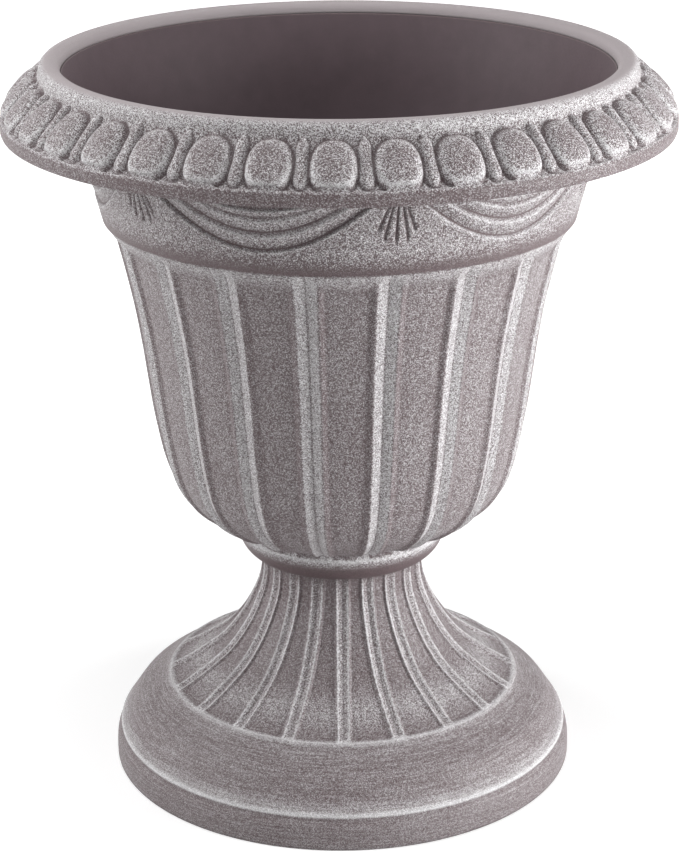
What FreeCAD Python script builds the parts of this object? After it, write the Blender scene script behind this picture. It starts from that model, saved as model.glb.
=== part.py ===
import FreeCAD, Part
import math
import os
from FreeCAD import Vector

# Garden urn planter in two thin plastic mouldings, a bowl on a pedestal, with a drain plug.
# Millimetres and degrees. +Z is up, the origin is the centre of the foot's resting face, and
# the front of the urn faces -Y. Angles round the urn are measured from the front towards +X.
# Heights add up from the ground: each is the height of one part of the outline.

# ---- pedestal outline ---------------------------------------------------------------------
foot_radius = 148.1           # plain band that stands on the ground
foot_height = 16.6
foot_shoulder = 1.9           # how far the band's top draws in
foot_rim_width = 3.6          # width of the ring that touches the ground
crease_radius = 144.7         # crease between the band and the bead
crease_height = 2.2
bead_stand_out = 0.7          # how far the bead stands out over the crease
bead_height = 3.2
plinth_bend_radius = 131.5    # where the plinth's slope flattens
plinth_slope_height = 17.3
rib_ring_radius = 112.0       # raised ring where the stem's ribs end
rib_ring_width = 2.5
plinth_top_height = 14.5
flare_height = 75.2           # curved part of the stem
stem_radius = 51.2            # slim top of the stem, which enters the bowl's collar
neck_height = 30.6
pedestal_wall = 3.2
deck_thickness = 4.0          # flat top of the pedestal, which carries the bowl

stem_rib_count = 20
stem_rib_width = 9.2
stem_rib_relief = 1.4         # how far the panels between the ribs are sunk
stem_rib_turn = 0.4           # angle of the rib nearest the front
stem_hollow_width = 2.6       # shallow hollow along the crest of each rib
stem_hollow_depth = 0.7
stem_panel_reach = 18.0       # how far the panels go up the neck, inside the collar

# ---- twist lock between the two mouldings -------------------------------------------------
hub_radius = 30.0
hub_wall = 3.4
hub_clearance = 0.08
lug_count = 3
lug_reach = 8.0
lug_thickness = 5.0
lug_angle = 40.0
lug_tip_clearance = 0.6
lug_side_play = 1.0           # angle left on each side of a lug, in its keyway and at its stop
lug_gap = 0.3                 # between the lugs and the underside of the deck
lock_turn = 60.0              # twist from locked to free

# ---- bowl outline -------------------------------------------------------------------------
collar_drop = 22.3            # how far the collar hangs over the pedestal's neck
collar_clearance = 0.4
collar_lip_width = 3.4
collar_waist_radius = 61.4    # collar above its rounded lower edge
collar_edge_height = 5.0
collar_swell_radius = 64.6    # the collar's upper band
collar_swell_height = 12.0
body_foot_radius = 67.0       # where the bowl's body leaves the collar
body_foot_drop = 2.1          # how far that is under the deck's level
body_top_radius = 137.5
body_height = 191.7
frieze_radius = 144.9         # lower edge of the frieze
frieze_under_height = 12.6    # rounded underside of the frieze
frieze_under_step = 3.0       # how far the underside's foot stands out from the body
frieze_spread = 14.3          # how much wider the frieze gets towards its top
frieze_height = 55.4
flange_radius = 203.2         # widest part of the urn
flange_height = 6.3
flange_wall = 3.2
egg_band_foot_radius = 200.8
egg_band_top_radius = 180.2
egg_band_height = 23.5
lip_radius = 178.8
lip_crest_radius = 173.6
lip_height = 10.2
lip_edge_drop = 1.9
opening_radius = 167.0
bowl_wall = 3.6
floor_thickness = 3.5

body_rib_count = 18
body_rib_turn = 12.0          # angle of one rib
body_rib_angle = 6.2          # width of a rib, as an angle
body_rib_relief = 1.6
body_hollow_angle = 1.5
body_hollow_depth = 0.7
panel_corner_radius = 5.0
panel_foot_share = 0.035      # where the panels start and end, as shares of the body's height
panel_top_share = 0.985

egg_count = 35
egg_turn = -0.9
egg_length = 30.0
egg_width = 25.0
egg_stand_out = 6.0
dart_length = 27.0
dart_width = 8.4
dart_stand_out = 3.4
egg_root = 2.0                # how deep eggs and darts are rooted in the rim's wall

swag_count = 6
swag_turn = -18.0             # angle of the middle of one swag
swag_depth = 1.3
swag_end_drop = 6.5           # level of the swags' ends, under the flange's lower edge
swag_drops = (42.7, 31.9, 22.5, 17.2)   # lowest point of each fold, under the flange's edge
swag_spreads = (0.92, 0.78, 0.65, 0.55)  # reach of each fold, as a share of half a repeat
fold_share = 0.45             # share of the space between two folds that is cut away
tassel_turn = 12.0            # angle of the middle of one tassel
tassel_depth = 1.2
tassel_width = 2.0
tassel_start = 10.0           # where its strokes start, measured from the point they fan from
tassel_angles = (-19.6, -11.0, 0.0, 11.0, 19.6)
tassel_lengths = (32.3, 36.6, 37.6, 36.6, 32.3)

# ---- drain plug ---------------------------------------------------------------------------
drain_radius = 8.0
plug_clearance = 0.08
plug_flange_radius = 13.0
plug_flange_thickness = 2.4
plug_shank_length = 9.0
plug_tip_taper = 1.4
plug_tab_width = 15.0
plug_tab_height = 15.0
plug_tab_thickness = 3.2
plug_tab_hole_radius = 3.4

# ---- shapes of the two curved outlines, as shares of their width and height ---------------
flare_shape = ((0.638, 0.176), (0.408, 0.322), (0.217, 0.521), (0.095, 0.714), (0.026, 0.867))
body_shape = ((0.156, 0.026), (0.291, 0.058), (0.416, 0.097), (0.567, 0.180), (0.652, 0.283),
              (0.711, 0.397), (0.796, 0.630), (0.850, 0.754), (0.919, 0.878))

# ---- levels and radii that follow from the sizes ------------------------------------------
crease_level = foot_height + crease_height
bead_level = crease_level + bead_height
bend_level = bead_level + plinth_slope_height
ring_level = bend_level + plinth_top_height
flare_level = ring_level + flare_height
deck_level = flare_level + neck_height
collar_level = deck_level - collar_drop
body_foot_level = deck_level - body_foot_drop
body_top_level = body_foot_level + body_height
frieze_level = body_top_level + frieze_under_height
flange_level = frieze_level + frieze_height
egg_foot_level = flange_level + flange_height
egg_top_level = egg_foot_level + egg_band_height
rim_level = egg_top_level + lip_height
floor_level = deck_level + floor_thickness
frieze_top_radius = frieze_radius + frieze_spread
hub_hole_radius = hub_radius + hub_clearance
keyway_radius = hub_radius + lug_reach + lug_tip_clearance
bore_radius = stem_radius + collar_clearance
lug_top_level = deck_level - deck_thickness - lug_gap
over = 4.0                    # how far the cutting shapes reach out of a surface


# ---- geometry helpers ---------------------------------------------------------------------
def at(radius, height):
    return Vector(radius, 0, height)


def line(start, end):
    return Part.LineSegment(start, end).toShape()


def lines(*points):
    return [line(a, b) for a, b in zip(points, points[1:])]


def arc(start, middle, end):
    return Part.Arc(start, middle, end).toShape()


def crown_arc(crest, foot):
    """Arc from a level crest down to another point."""
    across = foot.x - crest.x
    down = crest.z - foot.z
    radius = (across * across + down * down) / (2 * down)
    half = math.asin(min(abs(across) / radius, 1.0)) / 2
    side = math.copysign(radius * math.sin(half), across)
    middle = at(crest.x + side, crest.z - radius * (1 - math.cos(half)))
    return arc(crest, middle, foot)


def curve(points):
    spline = Part.BSplineCurve()
    spline.interpolate(points)
    return spline.toShape()


def spin(edges, angle=360.0):
    """Turn a closed outline in the XZ plane about the urn's axis."""
    face = Part.Face(Part.Wire(edges))
    return face.revolve(Vector(0, 0, 0), Vector(0, 0, 1), angle)


def turned(shape, angle):
    """A copy turned about the urn's axis."""
    copy = shape.copy()
    copy.rotate(Vector(0, 0, 0), Vector(0, 0, 1), angle)
    return copy


def around(shape, count, first_angle):
    """Copies of a shape drawn on the +X side, spread evenly round the urn."""
    return [turned(shape, first_angle - 90.0 + 360.0 / count * i) for i in range(count)]


def shifted(points, distance):
    """Points moved off an outline that runs upwards; a positive distance is outwards."""
    moved = []
    for i, point in enumerate(points):
        before = points[max(i - 1, 0)]
        after = points[min(i + 1, len(points) - 1)]
        along = after - before
        along.normalize()
        moved.append(point + Vector(along.z, 0, -along.x) * distance)
    return moved


def skin(points, depth):
    """Closed outline of a layer that reaches `depth` under an outside curve."""
    low = shifted(points, -depth)
    high = shifted(points, over)
    return [curve(low), line(low[-1], high[-1]), curve(high[::-1]), line(high[0], low[0])]


def straight_edges(shape):
    return [e for e in shape.Edges if e.Curve.TypeId == "Part::GeomLine"]


def tube_sector(inner, outer, low, height, angle):
    """Piece of a tube whose middle points to +X."""
    box = lines(at(inner, low), at(outer, low), at(outer, low + height),
                at(inner, low + height), at(inner, low))
    return turned(spin(box, angle), -angle / 2)


def dome(length, width, stand_out):
    """Rounded boss along X on the plane z = 0: the upper side of a barrel-shaped solid."""
    crown = (width * width / 4 + stand_out * stand_out) / (2 * stand_out)
    axis_depth = crown - stand_out
    bend = (length * length / 4 + stand_out * stand_out) / (2 * stand_out)
    foot = min(egg_root, axis_depth * 0.9)
    half = math.sqrt(bend * bend - (bend - stand_out - foot) ** 2)
    side = arc(at(-half, -foot), at(0, stand_out), at(half, -foot))
    base = lines(at(half, -foot), at(half, -axis_depth), at(-half, -axis_depth),
                 at(-half, -foot))
    face = Part.Face(Part.Wire([side] + base))
    barrel = face.revolve(at(0, -axis_depth), Vector(1, 0, 0), 360.0)
    keep = Part.makeBox(2 * length, 2 * width, stand_out + egg_root + 1)
    keep.translate(Vector(-length, -width, -egg_root))
    return barrel.common(keep)


# ---- curved outlines ----------------------------------------------------------------------
flare_points = [at(rib_ring_radius, ring_level)]
for share_out, share_up in flare_shape:
    radius = stem_radius + (rib_ring_radius - stem_radius) * share_out
    flare_points.append(at(radius, ring_level + flare_height * share_up))
flare_points.append(at(stem_radius, flare_level))
panel_top = at(stem_radius, flare_level + stem_panel_reach)

body_points = [at(body_foot_radius, body_foot_level)]
for share_out, share_up in body_shape:
    radius = body_foot_radius + (body_top_radius - body_foot_radius) * share_out
    body_points.append(at(radius, body_foot_level + body_height * share_up))
body_points.append(at(body_top_radius, body_top_level))


# ---- pedestal -----------------------------------------------------------------------------
def pedestal_shell():
    shoulder = at(foot_radius - foot_shoulder, foot_height)
    crease = at(crease_radius, crease_level)
    bead_top = at(crease_radius - bead_height * 0.45, bead_level)
    bend = at(plinth_bend_radius, bend_level)
    ring_edge = at(rib_ring_radius + rib_ring_width, ring_level - rib_ring_width)
    band_top = at(foot_radius - foot_shoulder * 0.3, foot_height * 0.65)
    outside = [line(at(foot_radius, 0), band_top)]
    outside.append(arc(band_top, at(foot_radius - foot_shoulder * 0.53, foot_height * 0.86),
                       shoulder))
    outside.append(line(shoulder, crease))
    outside.append(arc(crease, at(crease_radius + bead_stand_out, crease_level + bead_height / 3),
                       bead_top))
    outside += lines(bead_top, bend, ring_edge, flare_points[0])
    outside.append(curve(flare_points))
    outside += lines(flare_points[-1], at(stem_radius, deck_level), at(hub_hole_radius, deck_level),
                     at(hub_hole_radius, deck_level - deck_thickness))

    foot_inside = at(foot_radius - foot_rim_width, 0)
    band_inside = at(crease_radius - pedestal_wall, foot_height)
    plinth_inside = shifted([bead_top, bend, flare_points[0]], -pedestal_wall)
    flare_inside = shifted(flare_points, -pedestal_wall)
    neck_inside = at(stem_radius - pedestal_wall, deck_level - deck_thickness)
    inside = lines(at(hub_hole_radius, deck_level - deck_thickness), neck_inside,
                   at(stem_radius - pedestal_wall, flare_level))
    inside.append(curve([at(stem_radius - pedestal_wall, flare_level)] + flare_inside[-2::-1]))
    inside += lines(flare_inside[0], plinth_inside[1], plinth_inside[0], band_inside,
                    foot_inside, at(foot_radius, 0))
    return spin(outside + inside)


def stem_panels():
    """Sunk panels between the stem's ribs; the ribs keep the same width all the way."""
    points = curve(flare_points).discretize(Number=41)[1::4] + [panel_top]
    layer = spin(skin(points, stem_rib_relief))
    slabs = []
    for i in range(stem_rib_count):
        slab = Part.makeBox(foot_radius * 2, stem_rib_width, deck_level)
        slab.translate(Vector(0, -stem_rib_width / 2, 0))
        slabs.append(turned(slab, stem_rib_turn - 90.0 + 360.0 / stem_rib_count * i))
    return layer.cut(slabs).Solids


def stem_hollows():
    """Shallow hollows along the crests of the stem's ribs."""
    points = curve(flare_points).discretize(Number=41)[2::4] + [panel_top]
    layer = turned(spin(skin(points, stem_hollow_depth), 20.0), -10.0)
    slab = Part.makeBox(foot_radius * 2, stem_hollow_width, deck_level)
    slab.translate(Vector(0, -stem_hollow_width / 2, 0))
    hollow = layer.common(slab).Solids[0]
    return around(hollow, stem_rib_count, stem_rib_turn)


def pedestal():
    shape = pedestal_shell()
    shape = shape.cut(stem_panels())
    shape = shape.cut(stem_hollows())
    keyway = tube_sector(hub_radius - 2, keyway_radius, deck_level - deck_thickness - 1,
                         deck_thickness + 2, lug_angle + 2 * lug_side_play)
    keyways = around(keyway, lug_count, 0)
    shape = shape.cut(keyways)
    # The stops hang from the deck between the free and the locked place of two lugs.
    stop_angle = 360.0 / lug_count - lug_angle - lock_turn - 2 * lug_side_play
    stop = tube_sector(hub_radius + 1.0, keyway_radius, lug_top_level - lug_thickness,
                       lug_thickness + lug_gap + 1.0, stop_angle)
    middle = lug_angle / 2 + lug_side_play + stop_angle / 2
    return shape.fuse(around(stop, lug_count, middle))


# ---- bowl ---------------------------------------------------------------------------------
def bowl_shell():
    collar_foot = at(bore_radius, collar_level)
    collar_lip = at(bore_radius + collar_lip_width, collar_level)
    edge_top = at(collar_waist_radius, collar_level + collar_edge_height)
    edge_middle = at((bore_radius + collar_lip_width + 2 * collar_waist_radius) / 3,
                     collar_level + collar_edge_height * 0.45)
    swell = at(collar_swell_radius, collar_level + collar_swell_height)
    outside = lines(at(bore_radius, collar_level + collar_lip_width), collar_foot, collar_lip)
    outside.append(arc(collar_lip, edge_middle, edge_top))
    outside.append(curve([edge_top, swell, body_points[0]]))
    outside.append(curve(body_points))

    under_foot = at(body_top_radius + frieze_under_step, body_top_level + frieze_under_height / 2)
    under_top = at(frieze_radius - 1.6, frieze_level - 2.6)
    frieze_foot = at(frieze_radius, frieze_level)
    outside += lines(body_points[-1], under_foot, under_top)
    outside.append(arc(under_top, at(frieze_radius - 0.35, frieze_level - 1.4), frieze_foot))

    slope = frieze_spread / frieze_height
    ceiling_level = rim_level - flange_wall - 0.6
    gutter_top = at(frieze_radius + slope * (ceiling_level - frieze_level), ceiling_level)
    band = [at(egg_band_foot_radius, egg_foot_level), at(egg_band_top_radius, egg_top_level)]
    band_inside = shifted(band, -flange_wall)
    flange_foot = at(flange_radius - flange_wall, flange_level)
    lip_inside = at(lip_radius - flange_wall, egg_top_level)
    outside += lines(frieze_foot, gutter_top, at(lip_radius - flange_wall, ceiling_level),
                     lip_inside, band_inside[1], band_inside[0], flange_foot,
                     at(flange_radius, flange_level), at(flange_radius - 0.5, egg_foot_level),
                     band[0], band[1])
    lip_foot = at(lip_radius, rim_level - lip_edge_drop * 2)
    crest = at(lip_crest_radius, rim_level)
    edge = at(opening_radius, rim_level - lip_edge_drop)
    outside.append(line(band[1], lip_foot))
    outside += [crown_arc(crest, lip_foot), crown_arc(crest, edge)]

    frieze_inside = at(frieze_radius - bowl_wall, frieze_level)
    wall = shifted(body_points, -bowl_wall)
    wall = [p for p in wall if p.z > floor_level + 2.0]
    floor_edge = at(body_foot_radius, floor_level)
    inside = lines(edge, frieze_inside, wall[-1])
    inside.append(curve(wall[::-1]))
    inside += lines(wall[0], floor_edge, at(drain_radius, floor_level),
                    at(drain_radius, deck_level))

    # The collar is hollow behind its outside, apart from the lip that goes round the neck.
    pocket_top = at(collar_swell_radius - bowl_wall, deck_level)
    pocket_foot = at(collar_waist_radius - bowl_wall, collar_level + collar_edge_height)
    inside += lines(at(drain_radius, deck_level), pocket_top, pocket_foot,
                    at(bore_radius, collar_level + collar_lip_width))
    return spin(outside + inside)


def eggs_and_darts():
    """Egg moulding on the rim's slope, with a slim dart between every two eggs."""
    foot = at(egg_band_foot_radius, egg_foot_level)
    top = at(egg_band_top_radius, egg_top_level)
    middle = (foot + top) * 0.5
    slope = math.degrees(math.atan2(egg_band_height, egg_band_foot_radius - egg_band_top_radius))
    pieces = []
    for length, width, stand_out, turn in (
            (egg_length, egg_width, egg_stand_out, egg_turn),
            (dart_length, dart_width, dart_stand_out, egg_turn + 180.0 / egg_count)):
        boss = dome(length, width, stand_out)
        boss.rotate(Vector(0, 0, 0), Vector(0, 1, 0), slope)
        boss.translate(middle)
        pieces += around(boss, egg_count, turn)
    return pieces


def body_panels():
    """Sunk panels between the body's ribs, with rounded corners."""
    low = body_foot_level + body_height * panel_foot_share
    high = body_foot_level + body_height * panel_top_share
    points = [p for p in curve(body_points).discretize(Number=61) if low < p.z < high]
    points = points[:-1:5] + [points[-1]]
    angle = 360.0 / body_rib_count - body_rib_angle
    panel = turned(spin(skin(points, body_rib_relief), angle), -angle / 2)
    panel = panel.makeFillet(panel_corner_radius, straight_edges(panel))
    return around(panel, body_rib_count, body_rib_turn + 180.0 / body_rib_count)


def body_hollows():
    """Shallow hollows along the crests of the body's ribs."""
    points = curve(body_points).discretize(Number=61)[3:58:6]
    hollow = turned(spin(skin(points, body_hollow_depth), body_hollow_angle),
                    -body_hollow_angle / 2)
    return around(hollow, body_rib_count, body_rib_turn)


def frieze_layer(depth):
    foot = at(frieze_radius, frieze_level)
    top = at(frieze_top_radius, flange_level)
    low = shifted([foot, top], -depth)
    high = shifted([foot, top], over)
    return spin(lines(low[0], low[1], high[1], high[0], low[0]))


def prism(edges):
    """Outline drawn in the YZ plane, pushed out along +X through the frieze."""
    face = Part.Face(Part.Wire(edges))
    face.translate(Vector(frieze_radius * 0.8, 0, 0))
    return face.extrude(Vector(frieze_radius * 0.5, 0, 0))


def swags():
    """Crescent folds of cloth cut into the frieze."""
    end_level = flange_level - swag_end_drop
    next_drops = swag_drops[1:] + (swag_end_drop,)
    crescents = []
    for drop, next_drop, spread in zip(swag_drops, next_drops, swag_spreads):
        reach = frieze_top_radius * math.sin(math.radians(spread * 180.0 / swag_count))
        left = Vector(0, -reach, end_level)
        right = Vector(0, reach, end_level)
        low = Vector(0, 0, flange_level - drop)
        high = Vector(0, 0, flange_level - drop + (drop - next_drop) * fold_share)
        crescents.append(prism([arc(left, low, right), arc(right, high, left)]))
    pieces = []
    for crescent in crescents:
        pieces += around(crescent, swag_count, swag_turn)
    return frieze_layer(swag_depth).common(Part.makeCompound(pieces)).Solids


def tassels():
    """Pointed strokes that fan out between the swags."""
    strokes = []
    for lean, length in zip(tassel_angles, tassel_lengths):
        half = tassel_width / 2
        tip = Vector(0, 0, -tassel_start)
        left = Vector(0, -half, half - length)
        right = Vector(0, half, half - length)
        end = Vector(0, 0, -length)
        stroke = prism([line(tip, left), arc(left, end, right), line(right, tip)])
        stroke.rotate(Vector(0, 0, 0), Vector(1, 0, 0), lean)
        stroke.translate(Vector(0, 0, flange_level))
        strokes.append(stroke)
    pieces = []
    for stroke in strokes:
        pieces += around(stroke, swag_count, tassel_turn)
    return frieze_layer(tassel_depth).common(Part.makeCompound(pieces)).Solids


def bowl():
    shape = bowl_shell()
    shape = shape.fuse(eggs_and_darts())
    shape = shape.cut(body_panels())
    shape = shape.cut(body_hollows())
    shape = shape.cut(swags())
    shape = shape.cut(tassels())
    hub_foot = lug_top_level - lug_thickness
    hub = tube_sector(hub_radius - hub_wall, hub_radius, hub_foot,
                      floor_level - 1.0 - hub_foot, 360.0)
    lug = tube_sector(hub_radius - 1.0, hub_radius + lug_reach, hub_foot, lug_thickness, lug_angle)
    return shape.fuse([hub] + around(lug, lug_count, -lock_turn))


# ---- drain plug ---------------------------------------------------------------------------
def drain_plug():
    shank = drain_radius - plug_clearance
    tip_level = floor_level - plug_shank_length
    outline = lines(at(0, tip_level), at(shank - plug_tip_taper, tip_level),
                    at(shank, tip_level + plug_tip_taper * 2), at(shank, floor_level),
                    at(plug_flange_radius, floor_level),
                    at(plug_flange_radius, floor_level + plug_flange_thickness),
                    at(0, floor_level + plug_flange_thickness), at(0, tip_level))
    shape = spin(outline)
    half = plug_tab_width / 2
    foot = floor_level + plug_flange_thickness - 0.5
    bend = floor_level + plug_flange_thickness + plug_tab_height - half
    tab = Part.Face(Part.Wire([line(at(-half, foot), at(half, foot)),
                               line(at(half, foot), at(half, bend)),
                               arc(at(half, bend), at(0, bend + half), at(-half, bend)),
                               line(at(-half, bend), at(-half, foot))]))
    tab = tab.extrude(Vector(0, plug_tab_thickness, 0))
    hole = Part.makeCylinder(plug_tab_hole_radius, plug_tab_thickness + 2,
                             at(0, bend) - Vector(0, 1, 0), Vector(0, 1, 0))
    tab = tab.cut(hole)
    tab.translate(Vector(0, -plug_tab_thickness / 2, 0))
    return shape.fuse(tab)


def save(name, shape):
    """Write one solid; a shape that isn't exactly one valid solid is an error."""
    solids = shape.removeSplitter().Solids
    if len(solids) != 1 or not solids[0].isValid():
        raise RuntimeError(name + " isn't one valid solid: " + str(len(solids)))
    solids[0].exportStep(os.path.join("parts", name + ".step"))
    box = solids[0].BoundBox
    print(name, round(box.XLength, 2), round(box.YLength, 2), round(box.ZMin, 2),
          round(box.ZMax, 2), round(solids[0].Volume / 1000), "cm3", len(solids[0].Faces), "faces")


os.makedirs("parts", exist_ok=True)
save("drain_plug", drain_plug())
save("pedestal", pedestal())
save("bowl", bowl())
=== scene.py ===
import math

import bmesh
import bpy
from bpy.props import FloatProperty, FloatVectorProperty, IntProperty, PointerProperty
from mathutils import Matrix, Vector


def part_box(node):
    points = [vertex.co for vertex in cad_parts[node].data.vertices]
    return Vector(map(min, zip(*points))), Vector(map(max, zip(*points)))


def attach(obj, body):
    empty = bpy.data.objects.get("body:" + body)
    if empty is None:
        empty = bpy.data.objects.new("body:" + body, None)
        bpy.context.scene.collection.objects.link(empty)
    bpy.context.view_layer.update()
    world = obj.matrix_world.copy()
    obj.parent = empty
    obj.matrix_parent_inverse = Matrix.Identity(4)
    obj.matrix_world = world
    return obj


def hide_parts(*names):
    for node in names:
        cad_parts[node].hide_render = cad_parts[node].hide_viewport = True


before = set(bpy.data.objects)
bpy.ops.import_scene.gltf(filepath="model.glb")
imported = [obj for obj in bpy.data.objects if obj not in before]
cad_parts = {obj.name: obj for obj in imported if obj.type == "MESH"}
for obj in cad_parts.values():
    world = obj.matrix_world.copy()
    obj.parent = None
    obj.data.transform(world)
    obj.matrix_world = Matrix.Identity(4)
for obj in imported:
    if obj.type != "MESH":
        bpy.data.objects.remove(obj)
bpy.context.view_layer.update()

bl_info = {
    "name": "Urn planter",
    "version": (1, 0, 0),
    "blender": (4, 5, 0),
    "location": "3D View > Sidebar > Urn",
    "description": "Whitewashed garden urn with an egg-moulded rim, swags and ribs, in a studio",
    "category": "Object",
}

# Outlines are written in millimetres as (radius, height) for an urn of the nominal size. The
# two fits, in metres for a millimetre, come from the box of the frame's bowl. Angles are in
# degrees from the front (-Y) towards +X.
BOWL_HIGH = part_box("bowl")[1]
NOMINAL_RIM_RADIUS = 203.2
NOMINAL_HEIGHT = 457.2
RADIUS_FIT = BOWL_HIGH[0] / NOMINAL_RIM_RADIUS
HEIGHT_FIT = BOWL_HIGH[2] / NOMINAL_HEIGHT
MM = 1000.0               # millimetres in a metre

# Lip, egg band and flange, as one hollow ring round the bowl's mouth.
LIP = [(166.2, 449.6), (166.6, 453.2), (167.5, 455.2), (169.4, 456.4), (172.0, 457.0),
       (174.6, 457.2), (176.8, 456.5), (178.3, 455.2), (179.1, 453.2), (179.6, 450.2),
       (180.3, 447.0)]
EGG_BAND_TOP = (180.3, 447.0)
EGG_BAND_FOOT = (200.4, 425.0)
FLANGE = [(201.9, 424.9), (202.9, 424.4), (203.2, 423.4), (203.2, 417.4), (202.8, 416.4),
          (201.8, 416.0), (200.4, 416.2)]
RIM_UNDERSIDE = [(199.6, 419.4), (198.0, 422.2), (177.9, 444.6), (176.0, 447.6), (175.6, 452.8),
                 (169.4, 452.8), (166.8, 450.6)]

# Frieze: a ring that stands out from the bowl's wall.
FRIEZE_FOOT = (144.9, 361.8)
FRIEZE_TOP = (159.1, 416.8)
FRIEZE_HIDDEN = [(168.3, 452.6), (166.8, 452.0), (164.2, 442.0), (142.4, 362.6)]
FRIEZE_UNDER = [(142.0, 360.9), (143.4, 360.5), (144.3, 360.8), (144.8, 361.3)]

# Bowl: collar, ribbed body, and the wall behind the frieze.
COLLAR = [(51.6, 137.9), (54.2, 137.9), (57.6, 139.3), (60.6, 141.7), (62.8, 144.4),
          (64.4, 147.4), (65.4, 150.8), (66.0, 153.6), (66.1, 156.4), (65.4, 158.8)]
BODY = [(65.4, 158.8), (69.8, 160.3), (78.0, 162.7), (87.5, 168.6), (96.3, 176.1), (102.1, 183.4),
        (107.0, 192.0), (110.3, 201.3), (113.0, 211.8), (117.1, 233.6), (120.0, 254.4),
        (123.1, 278.2), (126.9, 302.1), (131.8, 325.9), (135.6, 342.2), (137.6, 350.6),
        (139.6, 354.4), (142.0, 357.6), (143.9, 360.2)]
BODY_HIDDEN = [(142.9, 362.4), (165.6, 450.2)]
INSIDE = [(166.0, 450.4), (165.4, 449.6), (153.6, 406.6), (141.0, 363.6), (132.6, 347.0),
          (124.6, 311.0), (118.8, 277.6), (115.0, 246.0), (110.6, 216.6), (105.6, 200.0),
          (98.0, 185.0), (86.0, 173.0), (72.0, 165.4), (62.0, 163.1)]
FLOOR = [(40.0, 163.1), (8.0, 163.1), (8.0, 159.6), (61.0, 159.6), (57.8, 142.3), (51.6, 140.8)]

# Pedestal: foot, plinth, flare, neck and deck, and its hollow.
PLINTH = [(148.1, 0.0), (148.1, 5.0), (147.8, 10.8), (147.2, 14.0), (146.2, 16.4), (145.0, 18.2),
          (144.6, 18.8), (145.3, 19.8), (145.2, 20.8), (144.3, 22.2), (142.0, 25.4), (138.2, 31.2),
          (134.7, 36.2), (132.6, 38.6), (130.6, 40.2), (127.4, 42.4), (120.4, 47.0), (116.0, 50.1),
          (114.3, 51.5), (113.3, 52.9), (112.2, 53.7)]
FLARE = [(112.2, 53.7), (103.2, 58.6), (90.0, 67.0), (76.0, 78.0), (64.4, 93.0), (57.0, 107.5),
         (52.8, 119.0), (51.3, 129.2)]
NECK = [(51.2, 146.0), (51.2, 159.6)]
DECK = [(30.1, 159.6), (30.1, 155.6), (48.0, 155.6)]
PEDESTAL_INSIDE = [(48.0, 129.0), (49.8, 118.0), (54.2, 106.0), (61.6, 91.2), (73.4, 75.6),
                   (87.8, 64.2), (109.0, 51.6), (129.2, 37.2), (141.4, 19.4), (144.5, 0.0)]

# Angles of one egg, rib, swag and stem rib, from which the others are spread.
EGG_TURN = -0.9
RIB_TURN = 11.75
SWAG_TURN = -18.0
STEM_RIB_TURN = 0.4

# Columns of a ring for each repeat of its ornament.
EGG_COLUMNS = 38
SWAG_COLUMNS = 210
RIB_COLUMNS = 60
STEM_RIB_COLUMNS = 54

# Points along the outlines that carry ornament.
LIP_POINTS = 14
EGG_BAND_POINTS = 30
FRIEZE_UNDER_POINTS = 5
COLLAR_POINTS = 13
BODY_POINTS = 54
PLINTH_POINTS = 42
FLARE_POINTS = 34

# Twist lock: hub and lugs under the bowl's floor, keyways and stops of the pedestal's deck.
HUB = [(26.6, 159.9), (26.6, 150.3), (30.0, 150.3), (30.0, 159.9)]
HUB_COLUMNS = 96
LUG_COUNT = 3
LUG_SECTION = (29.4, 38.0, 150.3, 155.3)       # inner and outer radius, low and high level
LUG_HALF_ANGLE = 20.0
LOCK_TURN = 60.0
KEYWAY_RADIUS = 38.6
KEYWAY_HALF_ANGLE = 21.0
STOP_SECTION = (31.0, 38.4, 150.4, 155.9)
STOP_TURN = 30.0
STOP_HALF_ANGLE = 9.0
SECTOR_STEPS = 12


# ---- sizes and colours that a user can change ------------------------------------------------

class UrnSizes(bpy.types.PropertyGroup):
    """Sizes and counts of the ornament"""
    egg_count: IntProperty(name="Eggs", description="Eggs round the rim", default=35, min=12)
    egg_relief: FloatProperty(
        name="Egg relief", description="Height of an egg over the band", default=0.006,
        min=0.0, max=0.012, unit="LENGTH")
    dart_relief: FloatProperty(
        name="Dart relief", description="Height of a dart over the band", default=0.0034,
        min=0.0, max=0.008, unit="LENGTH")
    rib_count: IntProperty(name="Body ribs", description="Ribs on the bowl", default=18, min=6)
    rib_relief: FloatProperty(
        name="Rib relief", description="How far the bowl's panels are sunk", default=0.0017,
        min=0.0, max=0.004, unit="LENGTH")
    swag_count: IntProperty(name="Swags", description="Swags on the frieze", default=6, min=3)
    swag_relief: FloatProperty(
        name="Swag relief", description="Depth of the swags' folds", default=0.0023,
        min=0.0, max=0.003, unit="LENGTH")
    stem_rib_count: IntProperty(name="Stem ribs", description="Ribs on the stem", default=20,
                                min=6)
    stem_rib_relief: FloatProperty(
        name="Stem rib relief", description="How far the stem's panels are sunk", default=0.0014,
        min=0.0, max=0.004, unit="LENGTH")


class UrnColours(bpy.types.PropertyGroup):
    """Colours of the urn and its studio"""
    plastic: FloatVectorProperty(
        name="Plastic", description="Moulded plastic under the wash", default=(0.114, 0.082, 0.086),
        subtype="COLOR", min=0.0, max=1.0)
    wash: FloatVectorProperty(
        name="Whitewash", description="White wash brushed over the plastic",
        default=(0.66, 0.65, 0.66), subtype="COLOR", min=0.0, max=1.0)
    rubbed: FloatVectorProperty(
        name="Rubbed edge", description="Evenly coated edge of the mouth",
        default=(0.41, 0.365, 0.375), subtype="COLOR", min=0.0, max=1.0)
    # Darker than the outside plastic: painted shade inside the bowl and under the urn.
    inside: FloatVectorProperty(
        name="Inside", description="Bare plastic inside the bowl", default=(0.088, 0.062, 0.070),
        subtype="COLOR", min=0.0, max=1.0)
    plug: FloatVectorProperty(
        name="Drain plug", description="Plastic of the plug", default=(0.030, 0.024, 0.025),
        subtype="COLOR", min=0.0, max=1.0)


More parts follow.
